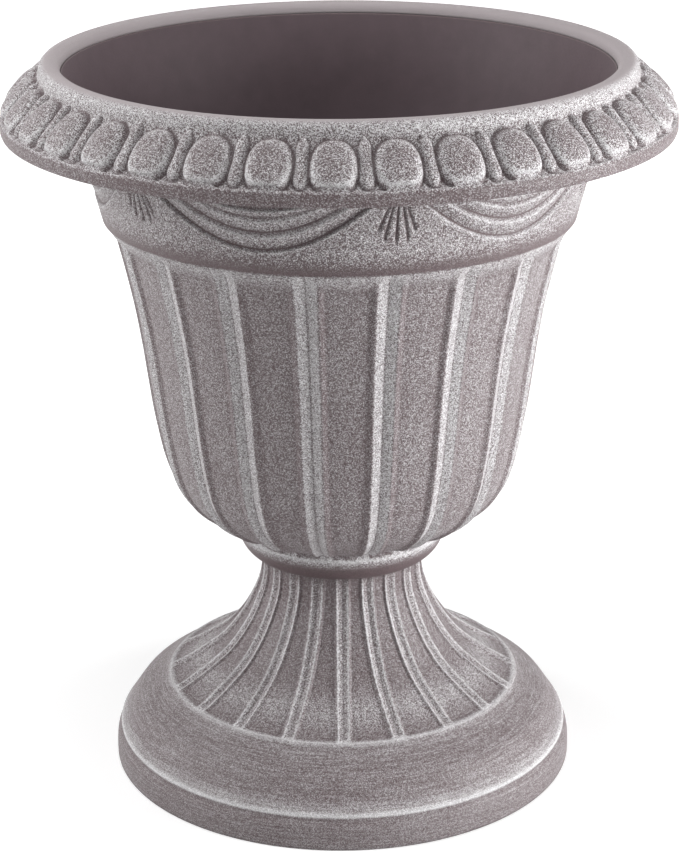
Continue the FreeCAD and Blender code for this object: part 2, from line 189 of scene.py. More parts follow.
class UrnCamera(bpy.types.PropertyGroup):
    """Place of the studio camera"""
    distance: FloatProperty(name="Distance", description="From the urn's axis", default=1.4497,
                            min=0.2, unit="LENGTH")
    height: FloatProperty(name="Height", description="Above the floor", default=0.7533,
                          min=0.0, unit="LENGTH")
    pitch: FloatProperty(name="Pitch", description="Angle below the horizon",
                         default=math.radians(20.21), unit="ROTATION")
    roll: FloatProperty(name="Roll", description="Lean of the picture",
                        default=math.radians(-0.321), unit="ROTATION")
    lens: FloatProperty(name="Lens", description="Focal length in mm on a 36 mm sensor",
                        default=103.19, min=10.0)


# ---- small helpers ---------------------------------------------------------------------------

CURVE_STEPS = 16          # steps of a smooth curve between two given points
SEAM_GAP = 0.000002       # points closer than this become one, where a rolled grid meets itself


def ease(value):
    """0 to 1 with soft ends."""
    value = min(max(value, 0.0), 1.0)
    return value * value * (3.0 - 2.0 * value)


def bell(value, width):
    """1 at 0, falling to 0 at width."""
    return 1.0 - ease(abs(value) / width)


def off_centre(angle, turn, pitch):
    """Angle from the nearest repeat of an ornament, in degrees."""
    return (angle - turn + pitch / 2.0) % pitch - pitch / 2.0


def through(points, count):
    """Evenly spaced points on a smooth curve through the given ones."""
    path = [points[0]] + list(points) + [points[-1]]
    fine = []
    for before, start, end, after in zip(path, path[1:], path[2:], path[3:]):
        for step in range(CURVE_STEPS):
            t = step / CURVE_STEPS
            fine.append(tuple(
                0.5 * (2.0 * b + (c - a) * t + (2.0 * a - 5.0 * b + 4.0 * c - d) * t * t
                       + (3.0 * b - a - 3.0 * c + d) * t * t * t)
                for a, b, c, d in zip(before, start, end, after)))
    fine.append(points[-1])
    return spaced(fine, count)


def spaced(points, count):
    """Evenly spaced points along a chain of straight runs."""
    lengths = [0.0]
    for a, b in zip(points, points[1:]):
        lengths.append(lengths[-1] + math.dist(a, b))
    result = []
    run = 0
    for i in range(count):
        target = lengths[-1] * i / (count - 1)
        while run < len(points) - 2 and lengths[run + 1] < target:
            run += 1
        t = (target - lengths[run]) / max(lengths[run + 1] - lengths[run], 1e-9)
        result.append(tuple(p + (q - p) * t for p, q in zip(points[run], points[run + 1])))
    return result


def rolled_ring(outline, columns):
    """A grid rolled up into a ring: columns go round the axis, rows follow the outline."""
    bm = bmesh.new()
    rows = len(outline)
    bmesh.ops.create_grid(bm, x_segments=columns, y_segments=rows, size=0.5)
    rank = bm.verts.layers.float.new("rank")
    for vert in bm.verts:
        number = int(round((vert.co.y + 0.5) * rows)) % rows
        turn = math.tau * (vert.co.x + 0.5)
        radius, height = outline[number]
        radius *= RADIUS_FIT
        vert[rank] = number
        vert.co = (radius * math.sin(turn), -radius * math.cos(turn), height * HEIGHT_FIT)
    bmesh.ops.remove_doubles(bm, verts=bm.verts, dist=SEAM_GAP)
    bmesh.ops.recalc_face_normals(bm, faces=bm.faces)
    return bm


def outward(outline):
    """Unit normals of a closed outline, pointing out of the wall that it encloses."""
    pairs = list(zip(outline, outline[1:] + outline[:1]))
    area = sum(a[0] * b[1] - b[0] * a[1] for a, b in pairs)
    side = math.copysign(1.0, area)
    normals = []
    count = len(outline)
    for i in range(count):
        before = outline[(i - 1) % count]
        after = outline[(i + 1) % count]
        dr, dz = after[0] - before[0], after[1] - before[1]
        length = math.hypot(dr, dz) or 1.0
        normals.append((side * dz / length, -side * dr / length))
    return normals


def distances(outline):
    """Length along the outline up to each of its points."""
    result = [0.0]
    for a, b in zip(outline, outline[1:]):
        result.append(result[-1] + math.dist(a, b))
    return result


def carve(bm, outline, relief):
    """Shape a rolled ring. relief gets a point's number in the outline, angle, radius and
    height. It returns the new angle, radius and height, how far the point rises from there, how
    much whitewash it holds, and how far the wash is hidden: up to 1 hides the wash, and down to
    -1 turns it into the smooth coat of a rubbed edge. In crevices, recesses and grooves, less
    wash and more hiding are painted shade."""
    rank = bm.verts.layers.float["rank"]
    wash = bm.verts.layers.float.new("wash")
    bare_and_painted_shade = bm.verts.layers.float.new("bare_and_painted_shade")
    normals = outward(outline)
    for vert in bm.verts:
        number = int(round(vert[rank]))
        angle = math.degrees(math.atan2(vert.co.x, -vert.co.y))
        angle, radius, height, rise, white, plain_and_painted_shade = relief(number, angle, *outline[number])
        out, up = normals[number]
        radius = (radius + rise * out) * RADIUS_FIT
        height = (height + rise * up) * HEIGHT_FIT
        turn = math.radians(angle)
        vert.co = (radius * math.sin(turn), -radius * math.cos(turn), height)
        vert[wash] = white
        vert[bare_and_painted_shade] = plain_and_painted_shade


def finished(bm, name, body, materials, nodes=()):
    """Turn a bmesh into a piece that rides on a body and stands for CAD nodes."""
    mesh = bpy.data.meshes.new(name)
    bm.to_mesh(mesh)
    bm.free()
    mesh.shade_smooth()
    piece = bpy.data.objects.new(name, mesh)
    bpy.context.scene.collection.objects.link(piece)
    for material in materials:
        mesh.materials.append(material)
    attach(piece, body)
    if nodes:
        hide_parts(*nodes)
    return piece


# ---- materials -------------------------------------------------------------------------------

GRAIN_SCALE = 2500.0      # specks of wash
FINE_SCALE = 1700.0       # mottling of the plastic, and soft edges of the specks
PATCH_SCALE = 38.0        # places that took more or less wash
PATCH_STRENGTH = 0.20
STREAK_SCALE = 1000.0     # brush strokes, which run round the urn
STREAK_STRETCH = 0.006
HALF_COVER = 0.96         # specks and wash together at which a place is half covered
WASH_THICKNESS = 0.00016


class Shader:
    """Builds one node material."""

    def __init__(self, name):
        self.material = bpy.data.materials.new(name)
        self.material.use_nodes = True
        self.nodes = self.material.node_tree.nodes
        self.links = self.material.node_tree.links
        self.surface = self.nodes["Principled BSDF"]
        self.place = self.nodes.new("ShaderNodeTexCoord").outputs["Object"]

    def link(self, source, socket):
        if isinstance(source, bpy.types.NodeSocket):
            self.links.new(source, socket)
        else:
            socket.default_value = source

    def math(self, operation, *values, clamp=False):
        node = self.nodes.new("ShaderNodeMath")
        node.operation = operation
        node.use_clamp = clamp
        for value, socket in zip(values, node.inputs):
            self.link(value, socket)
        return node.outputs[0]

    def remap(self, value, low, high, new_low=0.0, new_high=1.0, smooth=False):
        node = self.nodes.new("ShaderNodeMapRange")
        node.interpolation_type = "SMOOTHSTEP" if smooth else "LINEAR"
        for name, item in (("Value", value), ("From Min", low), ("From Max", high),
                           ("To Min", new_low), ("To Max", new_high)):
            self.link(item, node.inputs[name])
        return node.outputs["Result"]

    def noise(self, scale, detail=2.0, roughness=0.5, place=None):
        node = self.nodes.new("ShaderNodeTexNoise")
        self.link(place or self.place, node.inputs["Vector"])
        node.inputs["Scale"].default_value = scale
        node.inputs["Detail"].default_value = detail
        node.inputs["Roughness"].default_value = roughness
        return node.outputs["Fac"]

    def grain(self, scale):
        """A random value from 0 to 1 for each tiny cell."""
        node = self.nodes.new("ShaderNodeTexVoronoi")
        self.link(self.place, node.inputs["Vector"])
        node.inputs["Scale"].default_value = scale
        split = self.nodes.new("ShaderNodeSeparateColor")
        self.links.new(node.outputs["Color"], split.inputs[0])
        return split.outputs[0]

    def attribute(self, name):
        node = self.nodes.new("ShaderNodeAttribute")
        node.attribute_name = name
        return node.outputs["Fac"]

    def mix(self, share, first, second):
        node = self.nodes.new("ShaderNodeMix")
        node.data_type = "RGBA"
        self.link(share, node.inputs["Factor"])
        self.link(first, node.inputs["A"])
        self.link(second, node.inputs["B"])
        return next(output for output in node.outputs if output.type == "RGBA")

    def bump(self, height, distance, strength=1.0):
        node = self.nodes.new("ShaderNodeBump")
        node.inputs["Strength"].default_value = strength
        node.inputs["Distance"].default_value = distance
        self.link(height, node.inputs["Height"])
        self.links.new(node.outputs["Normal"], self.surface.inputs["Normal"])


def rgba(colour, level=1.0):
    return (colour[0] * level, colour[1] * level, colour[2] * level, 1.0)


def whitewashed_plastic(name, softness, streaks=0.0):
    """Taupe plastic with a speckled white wash; the mesh says where the wash is thick, and where it
    gives way to dark plastic, which in crevices, recesses and grooves is painted shade.
    """
    if name in bpy.data.materials:
        return bpy.data.materials[name]
    colours = bpy.context.scene.urn_colours
    shader = Shader(name)
    wash = shader.attribute("wash")
    bare_and_painted_shade = shader.attribute("bare_and_painted_shade")
    grain = shader.grain(GRAIN_SCALE)
    fine = shader.noise(FINE_SCALE, 1.0, 0.6)
    patches = shader.noise(PATCH_SCALE, 3.0, 0.6)
    specks = shader.math("ADD", shader.math("MULTIPLY", grain, 0.95),
                         shader.math("MULTIPLY", fine, 0.12))
    cloud = shader.math("MULTIPLY", shader.math("SUBTRACT", patches, 0.5), PATCH_STRENGTH)
    amount = shader.math("ADD", wash, cloud)
    if streaks:
        split = shader.nodes.new("ShaderNodeSeparateXYZ")
        shader.links.new(shader.place, split.inputs[0])
        around = shader.math("ARCTAN2", split.outputs["X"], split.outputs["Y"])
        reach = shader.math("SQRT", shader.math(
            "ADD", shader.math("POWER", split.outputs["X"], 2.0),
            shader.math("POWER", split.outputs["Y"], 2.0)))
        place = shader.nodes.new("ShaderNodeCombineXYZ")
        shader.link(shader.math("MULTIPLY", around, STREAK_STRETCH), place.inputs["X"])
        shader.link(reach, place.inputs["Y"])
        shader.link(split.outputs["Z"], place.inputs["Z"])
        brushed = shader.noise(STREAK_SCALE, 3.0, 0.6, place.outputs[0])
        amount = shader.math("ADD", amount, shader.math(
            "MULTIPLY", shader.math("SUBTRACT", brushed, 0.5), streaks))
    cover = shader.remap(shader.math("ADD", specks, amount), HALF_COVER - softness,
                         HALF_COVER + softness)
    hidden = shader.math("MAXIMUM", bare_and_painted_shade, 0.0)
    cover = shader.math("MULTIPLY", cover, shader.math("SUBTRACT", 1.0, hidden), clamp=True)
    smooth = shader.math("MAXIMUM", shader.math("MULTIPLY", bare_and_painted_shade, -1.0), 0.0)
    plastic = shader.mix(shader.remap(fine, 0.35, 0.65), rgba(colours.plastic, 0.74),
                         rgba(colours.plastic, 1.26))
    thick = shader.mix(shader.remap(grain, 0.45, 1.0), rgba(colours.wash, 0.88),
                       rgba(colours.wash, 1.25))
    colour = shader.mix(cover, plastic, thick)
    colour = shader.mix(smooth, colour, rgba(colours.rubbed))
    shader.link(colour, shader.surface.inputs["Base Color"])
    shader.link(shader.remap(cover, 0.0, 1.0, 0.52, 0.78), shader.surface.inputs["Roughness"])
    shader.surface.inputs["Specular IOR Level"].default_value = 0.35
    shader.bump(shader.math("ADD", cover, shader.math("MULTIPLY", fine, 0.6)), WASH_THICKNESS,
                0.7)
    return shader.material


def bare_plastic(name, colour):
    """Smooth moulded plastic without wash, with faint mould marks."""
    if name in bpy.data.materials:
        return bpy.data.materials[name]
    shader = Shader(name)
    marks = shader.noise(70.0, 3.0, 0.55)
    skin = shader.noise(900.0, 2.0, 0.6)
    tone = shader.mix(shader.remap(marks, 0.3, 0.7), rgba(colour, 0.94), rgba(colour, 1.07))
    shader.link(tone, shader.surface.inputs["Base Color"])
    shader.link(shader.remap(skin, 0.3, 0.7, 0.56, 0.68), shader.surface.inputs["Roughness"])
    shader.surface.inputs["Specular IOR Level"].default_value = 0.3
    shader.bump(shader.math("ADD", skin, shader.math("MULTIPLY", marks, 2.0)), 0.00006, 0.5)
    return shader.material


def speckled_plastic():
    """Crisp specks of wash, for the rim and the frieze."""
    return whitewashed_plastic("speckled_plastic", 0.20)


def shaded_inside_plastic():
    """Plastic of the faces that the wash never reached, darker than the plastic outside as painted
    shade.
    """
    return bare_plastic("shaded_inside_plastic", bpy.context.scene.urn_colours.inside)


# ---- rim -------------------------------------------------------------------------------------

# Eggs and darts, in mm. Along runs down the band from its middle.
EGG_MIDDLE = 0.5
EGG_HALF_LENGTH = 15.7
EGG_HALF_WIDTH = 12.3
EGG_EXTRA_WIDTH = 0.9     # towards the egg's low end
DART_HALF_WIDTH = 3.4
DART_EXTRA_WIDTH = 1.0
DART_TOP = -10.0          # between its top and its foot a dart has straight sides
DART_FOOT = 9.0
CREVICE_DEPTH = 0.8


def egg_reach(along, across):
    """0 at an egg's middle and 1 at its edge; fuller and squarer towards its low end."""
    along -= EGG_MIDDLE
    half_width = EGG_HALF_WIDTH + EGG_EXTRA_WIDTH * ease((along + EGG_HALF_LENGTH) / 20.0)
    power = 2.3 + 0.9 * ease((along + 6.0) / 12.0)
    return abs(along / EGG_HALF_LENGTH) ** power + abs(across / half_width) ** power


def dart_reach(along, across):
    """0 at a dart's middle and 1 at its edge, with rounded ends."""
    half_width = DART_HALF_WIDTH + DART_EXTRA_WIDTH * ease((along + 15.0) / 26.0)
    past_foot = max(along - DART_FOOT, 0.0) / 5.8
    past_top = max(DART_TOP - along, 0.0) / 6.0
    return (across / half_width) ** 2 + past_foot ** 2 + past_top ** 2


class URN_OT_rim(bpy.types.Operator):
    """Make the rim: lip, egg and dart moulding, and flange"""
    bl_idname = "urn.rim"
    bl_label = "Rim"

    def execute(self, context):
        sizes = context.scene.urn_sizes
        band = spaced([EGG_BAND_TOP, EGG_BAND_FOOT], EGG_BAND_POINTS)
        lip = through(LIP, LIP_POINTS)
        outline = lip[:-1] + band + FLANGE + RIM_UNDERSIDE
        first, last = len(lip) - 1, len(lip) + len(band) - 2
        middle = (first + last) / 2.0
        spacing = math.dist(EGG_BAND_TOP, EGG_BAND_FOOT) / (len(band) - 1)
        egg_pitch = 360.0 / sizes.egg_count
        egg_relief = sizes.egg_relief * MM
        dart_relief = sizes.dart_relief * MM

        def relief(number, angle, radius, height):
            rise, white, plain_and_painted_shade = 0.0, 0.0, 0.0
            if first <= number <= last:
                along = (number - middle) * spacing
                egg_across = math.radians(off_centre(angle, EGG_TURN, egg_pitch)) * radius
                egg = egg_reach(along, egg_across)
                dart_angle = off_centre(angle, EGG_TURN + egg_pitch / 2.0, egg_pitch)
                dart = dart_reach(along, math.radians(dart_angle) * radius)
                egg_rise = egg_relief * max(1.0 - egg, 0.0) ** 0.5
                dart_rise = dart_relief * max(1.0 - dart, 0.0) ** 0.5
                crevice = max(bell(egg - 1.05, 0.24), bell(dart - 1.1, 0.38))
                rise = max(egg_rise, dart_rise) - CREVICE_DEPTH * crevice
                low_side = ease((along + 6.0) / 16.0)
                if egg < 1.0:
                    white = 0.23 + (0.14 + 0.32 * low_side) * bell(egg - 0.62, 0.42)
                    plain_and_painted_shade = 0.2 * (1.0 - low_side) * (1.0 - ease(egg * 1.6))
                else:
                    white = 0.34 + 0.14 * bell(dart - 0.6, 0.4)
                # Painted shade: the crevices round eggs and darts lose their wash and show dark
                # plastic.
                white *= 1.0 - 0.75 * crevice
                plain_and_painted_shade = max(plain_and_painted_shade, 0.8 * crevice)
            elif number < first:
                share = number / first
                white = 0.50 - 0.15 * ease((share - 0.8) / 0.2)
                plain_and_painted_shade = -1.0 + ease((share - 0.54) / 0.12)
            elif number < last + 3:
                white = 0.34
            elif number <= last + 5:
                white = 0.10
                plain_and_painted_shade = 0.3
            else:
                plain_and_painted_shade = 0.7
            return angle, radius, height, rise, white, plain_and_painted_shade

        bm = rolled_ring(outline, sizes.egg_count * EGG_COLUMNS)
        carve(bm, outline, relief)
        finished(bm, "rim", "bowl", [speckled_plastic()], ["bowl"])
        return {"FINISHED"}


# ---- frieze ----------------------------------------------------------------------------------

SWAG_LEVEL = 403.4        # drops are measured down the frieze's slope from here, in mm
SWAG_FOLDS = [(30.0, 24.3), (18.75, 19.0), (9.0, 13.5), (3.5, 10.0)]   # drop, half angle
LEDGE_WIDTH = 0.75        # steep edge under each fold
TASSEL_FAN_LEVEL = 417.4  # a tassel's strokes fan out from here
TASSEL_START = 9.0        # and start this far away
TASSEL_DEPTH = 1.5
# Lean of each stroke, and how far away it ends.
TASSEL_STROKES = [(-19.6, 32.3), (-11.0, 36.6), (0.0, 37.6), (11.0, 36.6), (19.6, 32.3)]
GATHERING = 0.45          # how far columns gather between the swags, where the tassels are
FRIEZE_PLAIN_RINGS = 26   # rings under the folds
FOLD_RINGS = 7            # rings in each fold


def stroke_depth(across, down):
    """Depth, 0 to 1, of the tassel's pointed strokes at a place under the point they fan from."""
    deepest = 0.0
    for lean, length in TASSEL_STROKES:
        turn = math.radians(lean)
        along = down * math.cos(turn) + across * math.sin(turn)
        side = across * math.cos(turn) - down * math.sin(turn)
        half = 0.45 + 0.62 * ease((along - TASSEL_START) / (length - TASSEL_START))
        if TASSEL_START < along < length:
            ends = ease((length - along) / 1.6) * ease((along - TASSEL_START) / 4.0)
            deepest = max(deepest, ends * bell(side, half * 1.5))
    return deepest


class URN_OT_frieze(bpy.types.Operator):
    """Make the frieze with its swags and tassels"""
    bl_idname = "urn.frieze"
    bl_label = "Frieze"

    def execute(self, context):
        sizes = context.scene.urn_sizes
        pitch = 360.0 / sizes.swag_count
        under = through(FRIEZE_UNDER, FRIEZE_UNDER_POINTS)
        slope_rings = FRIEZE_PLAIN_RINGS + len(SWAG_FOLDS) * FOLD_RINGS
        slope = spaced([FRIEZE_FOOT, FRIEZE_TOP], slope_rings)
        outline = under + slope + FRIEZE_HIDDEN
        first = len(under)
        lean = math.cos(math.atan2(FRIEZE_TOP[0] - FRIEZE_FOOT[0], FRIEZE_TOP[1] - FRIEZE_FOOT[1]))
        top_drop = (SWAG_LEVEL - FRIEZE_TOP[1]) / lean
        foot_drop = (SWAG_LEVEL - FRIEZE_FOOT[1]) / lean
        depth = sizes.swag_relief * MM

        def fold_drops(swag_angle):
            """Drops of the folds' lower edges at an angle, lowest first, then the top."""
            drops = []
            for i, (drop, spread) in enumerate(SWAG_FOLDS):
                value = drop * (1.0 - (swag_angle / spread) ** 2)
                drops.append(max(value, top_drop + 0.8 * (len(SWAG_FOLDS) - i)))
            return drops + [top_drop]

        def relief(number, angle, radius, height):
            if not first <= number < first + slope_rings:
                return angle, radius, height, 0.0, 0.12, 0.3
            gather = off_centre(angle, SWAG_TURN + pitch / 2.0, pitch)
            angle -= math.degrees(GATHERING / sizes.swag_count
                                  * math.sin(math.radians(gather * sizes.swag_count)))
            swag_angle = off_centre(angle, SWAG_TURN, pitch)
            drops = fold_drops(swag_angle)
            ring = number - first
            rise = 0.0
            if ring < FRIEZE_PLAIN_RINGS:
                share = ring / (FRIEZE_PLAIN_RINGS - 1)
                drop = foot_drop + (drops[0] - foot_drop) * share
                near_edge = bell(drop - drops[0], 2.2) * ease((drops[0] - top_drop - 3.0) / 3.0)
                low = ease((foot_drop - drop - 3.0) / 12.0)
                white = 0.05 + 0.22 * low + 0.26 * near_edge
                plain_and_painted_shade = 0.85 * (1.0 - ease((foot_drop - drop - 1.0) / 6.0))
            else:
                fold, step = divmod(ring - FRIEZE_PLAIN_RINGS, FOLD_RINGS)
                lower, upper = drops[fold], drops[fold + 1]
                gap = lower - upper
                ledge = min(LEDGE_WIDTH, gap * 0.25)
                share = step / FOLD_RINGS
                drop = lower - ledge - (gap - ledge) * share
                sunk = min(depth, gap * 0.28)
                rise = -sunk * (1.0 - share) ** 1.3
                # Painted shade: the sunk foot of each fold, against the step under it, keeps little
                # wash and shows dark plastic.
                white = 0.16 + 0.14 * ease(share * 1.6) + 0.34 * ease((share - 0.68) / 0.17)
                plain_and_painted_shade = 0.55 * (1.0 - ease(share * 5.0))
            height = SWAG_LEVEL - drop * lean
            radius = FRIEZE_FOOT[0] + (FRIEZE_TOP[0] - FRIEZE_FOOT[0]) * (
                (height - FRIEZE_FOOT[1]) / (FRIEZE_TOP[1] - FRIEZE_FOOT[1]))
            tassel_angle = off_centre(angle, SWAG_TURN + pitch / 2.0, pitch)
            cut = stroke_depth(math.radians(tassel_angle) * radius,
                               (TASSEL_FAN_LEVEL - height) / lean)
            rise -= TASSEL_DEPTH * cut
            white -= 0.28 * cut
            return angle, radius, height, rise, white, max(plain_and_painted_shade, 0.5 * cut)

        bm = rolled_ring(outline, sizes.swag_count * SWAG_COLUMNS)
        carve(bm, outline, relief)
        finished(bm, "frieze", "bowl", [speckled_plastic()])
        return {"FINISHED"}


# ---- bowl ------------------------------------------------------------------------------------

RIB_HALF_ANGLE = 2.95
RIB_GATHERING = 0.42               # how far columns gather at the ribs
# In mm.
COLLAR_BARE_AND_SHADE_LEVEL = 147.5          # up to here the collar shows its plastic, partly as painted shade under the collar
COLLAR_WASH_LEVEL = 151.0          # and from here the wash gets thick
RIB_GROOVE = 2.3
PANEL_FOOT_GAP = 5.0               # between the collar and the panels
PANEL_TOP_GAP = 8.5                # between the panels and the frieze
PANEL_CORNER = 6.0


def rib_section(across, half_width, groove):
    """Depth under the rib's two lips of the shallow hollow between them."""
    share = min(abs(across) / half_width, 1.0)
    return groove * (1.0 - share) ** 1.12


def panel_inset(side, end, corner):
    """Distance into a panel with rounded corners, from its nearest edge."""
    if side < corner and end < corner:
        return corner - math.hypot(corner - side, corner - end)
    return min(side, end)


class URN_OT_bowl(bpy.types.Operator):
    """Make the ribbed bowl with its collar and its inside"""
    bl_idname = "urn.bowl"
    bl_label = "Bowl"

    def execute(self, context):
        sizes = context.scene.urn_sizes
        pitch = 360.0 / sizes.rib_count
        collar = through(COLLAR[1:], COLLAR_POINTS)
        body = through(BODY, BODY_POINTS)
        outline = COLLAR[:1] + collar[:-1] + body + BODY_HIDDEN + INSIDE + FLOOR
        first = len(collar)
        last = first + len(body) - 1
        inside = last + 1 + len(BODY_HIDDEN)
        along = distances(outline)
        relief_depth = sizes.rib_relief * MM

        def relief(number, angle, radius, height):
            if number > last:
                return angle, radius, height, 0.0, 0.0, 1.0
            if number < first - 1:
                # The collar's lower part shows plastic: partly unwashed, partly painted shade under
                # the collar.
                white = 0.16 + 0.72 * ease((height - COLLAR_WASH_LEVEL) / 4.0)
                plain_and_painted_shade = 1.0 - ease((height - COLLAR_BARE_AND_SHADE_LEVEL) / 4.0)
                return angle, radius, height, 0.0, white, plain_and_painted_shade
            rib = off_centre(angle, RIB_TURN, pitch)
            angle -= math.degrees(RIB_GATHERING / sizes.rib_count
                                  * math.sin(math.radians(rib * sizes.rib_count)))
            rib = off_centre(angle, RIB_TURN, pitch)
            half_width = math.radians(RIB_HALF_ANGLE) * radius
            across = math.radians(abs(rib)) * radius
            foot = along[number] - along[first] - PANEL_FOOT_GAP
            top = along[last] - along[number] - PANEL_TOP_GAP
            inset = panel_inset(across - half_width, min(foot, top), PANEL_CORNER)
            sunk = relief_depth * ease(inset / 4.0)
            hollow = rib_section(across, half_width, RIB_GROOVE)
            hollow *= ease(along[number] - along[first] - 1.0)
            hollow *= 0.25 + 0.75 * ease((along[last] - along[number]) / 9.0)
            in_rib = 1.0 - ease((across - half_width * 0.8) / 1.6)
            # Painted shade: a dark line of less wash along the bottom of each rib's groove.
            valley_shade = bell(across, 0.9)
            dust = (1.0 - ease((top + 6.0) / 13.0)) * (1.0 - in_rib)
            # Painted shade: darker plastic along the sunk edges of the panels.
            recess_shade = bell(inset - 3.0, 3.0) * (1.0 - in_rib)
            middle = ease(inset / 9.0)
            white = 0.06 + 0.06 * middle + 0.30 * dust - 0.03 * recess_shade
            crest = bell(across - half_width * 0.9, 1.6)
            white = white * (1.0 - in_rib) + (0.50 + 0.10 * crest - 0.20 * valley_shade) * in_rib
            plain_and_painted_shade = 0.15 * recess_shade * (1.0 - dust) + 0.25 * valley_shade
            return angle, radius, height, -sunk - hollow, white, plain_and_painted_shade

        bm = rolled_ring(outline, sizes.rib_count * RIB_COLUMNS)
        carve(bm, outline, relief)
        rank = bm.verts.layers.float["rank"]
        for face in bm.faces:
            lowest = min(vert[rank] for vert in face.verts)
            face.material_index = 1 if lowest >= inside - 0.5 or lowest < 0.5 else 0
        finished(bm, "bowl_wall", "bowl",
                 [whitewashed_plastic("ribbed_wall_plastic", 0.36), shaded_inside_plastic()])
        make_lock()
        return {"FINISHED"}


def make_lock():
    """Hub and lugs under the bowl's floor, for the twist lock."""
    bm = rolled_ring(HUB, HUB_COLUMNS)
    for i in range(LUG_COUNT):
        sector(bm, LUG_SECTION, -LOCK_TURN + 360.0 / LUG_COUNT * i, LUG_HALF_ANGLE)
    finished(bm, "twist_lock", "bowl", [shaded_inside_plastic()])


def sector(bm, section, middle, half_angle):
    """Add a closed piece of a tube, as far as half_angle on each side of its middle."""
    inner, outer, low, high = section
    turn = math.radians(middle - half_angle)
    corners = []
    for radius, height in ((inner, low), (outer, low), (outer, high), (inner, high)):
        radius /= MM
        corners.append(bm.verts.new((radius * math.sin(turn), -radius * math.cos(turn),
                                     height / MM)))
    face = bm.faces.new(corners)
    bmesh.ops.spin(bm, geom=[face], cent=(0.0, 0.0, 0.0), axis=(0.0, 0.0, 1.0),
                   dvec=(0.0, 0.0, 0.0), angle=math.radians(2.0 * half_angle),
                   steps=SECTOR_STEPS, use_merge=False, use_normal_flip=False,
                   use_duplicate=False)
    bmesh.ops.recalc_face_normals(bm, faces=bm.faces)


# ---- pedestal --------------------------------------------------------------------------------

# All in mm.
BEAD_LEVEL = 20.6
STEM_RIB_HALF_WIDTH = 3.9
STEM_RIB_GROOVE = 1.6
STEM_PANEL_CORNER = 1.2
STEM_PANEL_GAP = 0.8               # between the raised ring and the panels


class URN_OT_pedestal(bpy.types.Operator):
    """Make the pedestal: foot, plinth, ribbed stem and deck"""
    bl_idname = "urn.pedestal"
    bl_label = "Pedestal"

    def execute(self, context):
        sizes = context.scene.urn_sizes
        pitch = 360.0 / sizes.stem_rib_count
        plinth = through(PLINTH, PLINTH_POINTS)
        flare = through(FLARE, FLARE_POINTS)
        outline = plinth[:-1] + flare + NECK + DECK + PEDESTAL_INSIDE
        first = len(plinth) - 1
        last = first + len(flare) - 1
        hole = last + len(NECK) + 1
        inside = last + len(NECK)
        along = distances(outline)
        bead = min(range(first), key=lambda i: abs(outline[i][1] - BEAD_LEVEL))
        relief_depth = sizes.stem_rib_relief * MM

        def relief(number, angle, radius, height):
            if number > last:
                keyway = abs(off_centre(angle, 0.0, 360.0 / LUG_COUNT))
                if number in (hole, hole + 1) and keyway < KEYWAY_HALF_ANGLE:
                    radius = KEYWAY_RADIUS
                return angle, radius, height, 0.0, 0.0, 1.0
            if number <= first:
                to_bead = along[number] - along[bead]
                to_ring = along[first] - along[number]
                white = -0.08 + 1.25 * bell(to_bead, 3.2) + 0.90 * bell(to_ring, 3.0)
                white += 0.36 * ease(1.0 - abs(to_bead - 4.0) / 7.0)
                white += 0.10 * bell(to_ring - 6.0, 6.0)
                plain_and_painted_shade = 0.0
                if to_bead < -1.2:
                    # Painted shadow: a dark line of less wash just under the bead.
                    white = 0.02 - 0.1 * bell(to_bead + 3.0, 2.5)
                    plain_and_painted_shade = 0.25
                return angle, radius, height, 0.0, white, plain_and_painted_shade
            rib = off_centre(angle, STEM_RIB_TURN, pitch)
            across = math.radians(abs(rib)) * radius
            end = along[number] - along[first] - STEM_PANEL_GAP
            inset = panel_inset(across - STEM_RIB_HALF_WIDTH, end, STEM_PANEL_CORNER)
            sunk = relief_depth * ease(inset / 1.5)
            hollow = rib_section(across, STEM_RIB_HALF_WIDTH, STEM_RIB_GROOVE)
            hollow *= ease((end - 1.0) / 4.0)
            rib_lip = STEM_RIB_HALF_WIDTH * 0.86
            in_rib = 1.0 - ease((across - rib_lip) / 1.1)
            crest = bell(across - rib_lip, 1.4)
            dusty = bell(end - 22.0, 20.0)
            shade = ease((height - 112.0) / 16.0)
            white = 0.20 + 0.14 * dusty * ease(inset / 3.0)
            white = white * (1.0 - in_rib) + (0.30 + 0.50 * crest) * in_rib
            white = max(white - 0.12 * shade, 0.85 * bell(end + 0.4, 1.5))
            # Its last term is painted shade along the bottom of each rib's groove.
            plain_and_painted_shade = (0.40 - 0.35 * dusty) * (1.0 - in_rib) + 0.25 * bell(across, 0.8)
            return angle, radius, height, -sunk - hollow, white, plain_and_painted_shade

        bm = rolled_ring(outline, sizes.stem_rib_count * STEM_RIB_COLUMNS)
        carve(bm, outline, relief)
        rank = bm.verts.layers.float["rank"]
        for face in bm.faces:
            numbers = [vert[rank] for vert in face.verts]
            lowest, highest = min(numbers), max(numbers)
            resting = highest - lowest > 5      # between the outline's last and first points
            if lowest >= inside - 0.5 or resting:
                face.material_index = 1
            elif lowest >= first:
                face.material_index = 2
        for i in range(LUG_COUNT):
            sector(bm, STOP_SECTION, STOP_TURN + 360.0 / LUG_COUNT * i, STOP_HALF_ANGLE)
        finished(bm, "pedestal_wall", "pedestal",
                 [whitewashed_plastic("brushed_plinth_plastic", 0.75, 1.30), shaded_inside_plastic(),
                  whitewashed_plastic("ribbed_stem_plastic", 0.36, 0.30)], ["pedestal"])
        return {"FINISHED"}


# ---- drain plug ------------------------------------------------------------------------------

class URN_OT_plug(bpy.types.Operator):
    """Give the drain plug its plastic"""
    bl_idname = "urn.plug"
    bl_label = "Drain plug"

    def execute(self, context):
        plastic = bare_plastic("plug_plastic_surface", context.scene.urn_colours.plug)
        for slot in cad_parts["drain_plug"].material_slots:
            slot.material = plastic
        return {"FINISHED"}


# ---- studio ----------------------------------------------------------------------------------

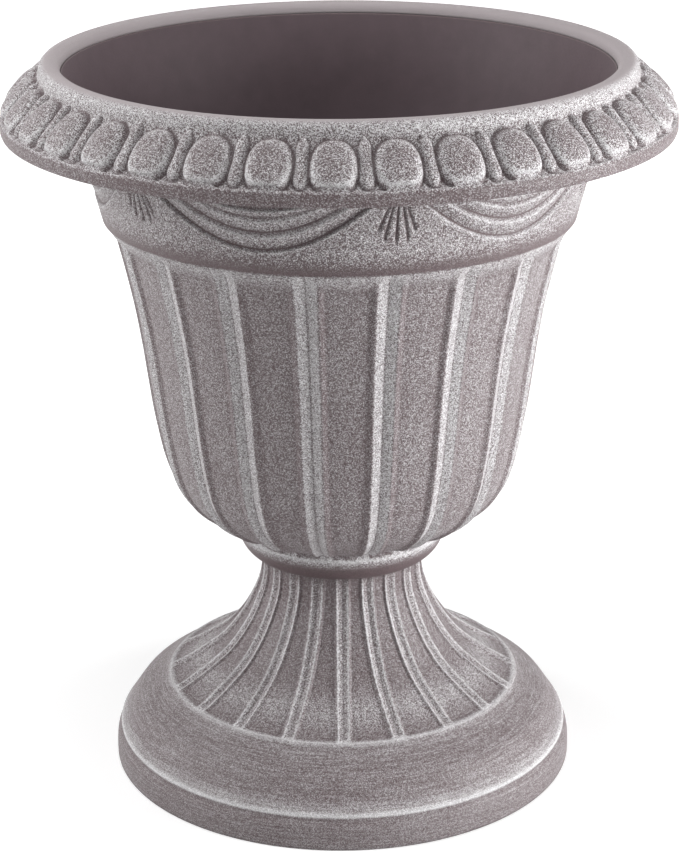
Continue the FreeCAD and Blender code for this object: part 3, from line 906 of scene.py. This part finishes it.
# Name, place, target, width, height and watts of each lamp.
SOFTBOXES = [("right_softbox", (1.55, -0.40, 0.45), (0.0, 0.0, 0.25), 0.9, 1.0, 34.0),
             ("left_softbox", (-1.35, -0.05, 0.95), (0.0, 0.0, 0.3), 1.0, 1.0, 17.0),
             ("top_softbox", (0.0, -0.35, 1.9), (0.0, 0.0, 0.3), 1.3, 1.0, 10.0)]
WORLD_FILL = 0.24         # light of the white surroundings, which look full white themselves
FLOOR_HALF_WIDTH = 3.0
FLOOR_DROP = 0.0004       # keeps the floor clear of the foot's underside
FLOOR_SHADE = 0.80
# The paper glows for the eye, weakly round the foot, so that its shadow shows, and not under it.
GLOW_START = 0.138
GLOW_RAMP = (("From Min", 0.25), ("From Max", 1.2), ("To Min", 0.42), ("To Max", 0.98))
PICTURE_SHIFT = (-1.4 / 853.0, -0.5 / 853.0)    # shares of the picture's longer side
SENSOR_WIDTH = 36.0


def softbox(name, place, target, width, height, power):
    """A rectangular lamp that faces a point."""
    lamp = bpy.data.lights.new(name, "AREA")
    lamp.shape = "RECTANGLE"
    lamp.size = width
    lamp.size_y = height
    lamp.energy = power
    thing = bpy.data.objects.new(name, lamp)
    thing.location = place
    thing.rotation_euler = (Vector(target) - Vector(place)).to_track_quat("-Z", "Y").to_euler()
    bpy.context.scene.collection.objects.link(thing)


def seen_directly(nodes, links):
    """1 for camera, glossy and transmission rays, and 0 for the rest."""
    path = nodes.new("ShaderNodeLightPath")
    total = path.outputs["Is Camera Ray"]
    for name in ("Is Glossy Ray", "Is Transmission Ray"):
        add = nodes.new("ShaderNodeMath")
        add.operation = "ADD"
        add.use_clamp = True
        links.new(total, add.inputs[0])
        links.new(path.outputs[name], add.inputs[1])
        total = add.outputs[0]
    return total


class URN_OT_studio(bpy.types.Operator):
    """Make the floor, lamps, world and camera"""
    bl_idname = "urn.studio"
    bl_label = "Studio"

    def execute(self, context):
        self.floor(context.scene)
        self.world(context.scene)
        for lamp in SOFTBOXES:
            softbox(*lamp)
        self.camera(context.scene)
        return {"FINISHED"}

    def floor(self, scene):
        bm = bmesh.new()
        bmesh.ops.create_grid(bm, x_segments=2, y_segments=2, size=FLOOR_HALF_WIDTH)
        mesh = bpy.data.meshes.new("floor")
        bm.to_mesh(mesh)
        bm.free()
        floor = bpy.data.objects.new("floor", mesh)
        floor.location.z = -FLOOR_DROP
        scene.collection.objects.link(floor)
        surface = bpy.data.materials.new("floor_paper")
        surface.use_nodes = True
        nodes, links = surface.node_tree.nodes, surface.node_tree.links
        paper = nodes["Principled BSDF"]
        paper.inputs["Base Color"].default_value = (FLOOR_SHADE, FLOOR_SHADE, FLOOR_SHADE, 1.0)
        paper.inputs["Roughness"].default_value = 0.8
        paper.inputs["Specular IOR Level"].default_value = 0.0
        paper.inputs["Emission Color"].default_value = (1.0, 1.0, 1.0, 1.0)
        reach = nodes.new("ShaderNodeVectorMath")
        reach.operation = "LENGTH"
        links.new(nodes.new("ShaderNodeTexCoord").outputs["Object"], reach.inputs[0])
        level = nodes.new("ShaderNodeMapRange")
        links.new(reach.outputs["Value"], level.inputs["Value"])
        for name, value in GLOW_RAMP:
            level.inputs[name].default_value = value
        beyond = nodes.new("ShaderNodeMath")
        beyond.operation = "GREATER_THAN"
        links.new(reach.outputs["Value"], beyond.inputs[0])
        beyond.inputs[1].default_value = GLOW_START
        glow = seen_directly(nodes, links)
        for factor in (level.outputs["Result"], beyond.outputs[0]):
            product = nodes.new("ShaderNodeMath")
            product.operation = "MULTIPLY"
            links.new(glow, product.inputs[0])
            links.new(factor, product.inputs[1])
            glow = product.outputs[0]
        links.new(glow, paper.inputs["Emission Strength"])
        mesh.materials.append(surface)

    def world(self, scene):
        world = bpy.data.worlds.new("studio_white")
        scene.world = world
        world.use_nodes = True
        nodes, links = world.node_tree.nodes, world.node_tree.links
        light = nodes["Background"]
        light.inputs["Color"].default_value = (1.0, 1.0, 1.0, 1.0)
        strength = nodes.new("ShaderNodeMapRange")
        links.new(seen_directly(nodes, links), strength.inputs["Value"])
        strength.inputs["To Min"].default_value = WORLD_FILL
        strength.inputs["To Max"].default_value = 1.0
        links.new(strength.outputs["Result"], light.inputs["Strength"])

    def camera(self, scene):
        place = scene.urn_camera
        camera = bpy.data.cameras.new("camera")
        camera.lens = place.lens
        camera.sensor_width = SENSOR_WIDTH
        thing = bpy.data.objects.new("camera", camera)
        thing.location = (0.0, -place.distance, place.height)
        tilt = Matrix.Rotation(math.pi / 2.0 - place.pitch, 3, "X")
        thing.rotation_euler = (tilt @ Matrix.Rotation(place.roll, 3, "Z")).to_euler()
        camera.shift_x, camera.shift_y = PICTURE_SHIFT
        scene.collection.objects.link(thing)
        scene.camera = thing


# ---- sidebar panel and registration ----------------------------------------------------------

class URN_PT_sidebar(bpy.types.Panel):
    """Sizes, colours and pieces of the urn"""
    bl_idname = "URN_PT_sidebar"
    bl_label = "Urn planter"
    bl_space_type = "VIEW_3D"
    bl_region_type = "UI"
    bl_category = "Urn"

    def draw(self, context):
        layout = self.layout
        for group in (context.scene.urn_sizes, context.scene.urn_colours,
                      context.scene.urn_camera):
            for name in group.__annotations__:
                layout.prop(group, name)
        for operator in PIECES:
            layout.operator(operator.bl_idname)


PIECES = (URN_OT_studio, URN_OT_rim, URN_OT_frieze, URN_OT_bowl, URN_OT_pedestal, URN_OT_plug)
CLASSES = (UrnSizes, UrnColours, UrnCamera) + PIECES + (URN_PT_sidebar,)


def register():
    for item in CLASSES:
        bpy.utils.register_class(item)
    bpy.types.Scene.urn_sizes = PointerProperty(type=UrnSizes)
    bpy.types.Scene.urn_colours = PointerProperty(type=UrnColours)
    bpy.types.Scene.urn_camera = PointerProperty(type=UrnCamera)


def unregister():
    del bpy.types.Scene.urn_sizes
    del bpy.types.Scene.urn_colours
    del bpy.types.Scene.urn_camera
    for item in reversed(CLASSES):
        bpy.utils.unregister_class(item)


def main():
    register()
    bpy.context.scene.view_settings.view_transform = "Standard"
    bpy.ops.urn.studio()
    bpy.ops.urn.rim()
    bpy.ops.urn.frieze()
    bpy.ops.urn.bowl()
    bpy.ops.urn.pedestal()
    bpy.ops.urn.plug()


if __name__ == "__main__":
    main()
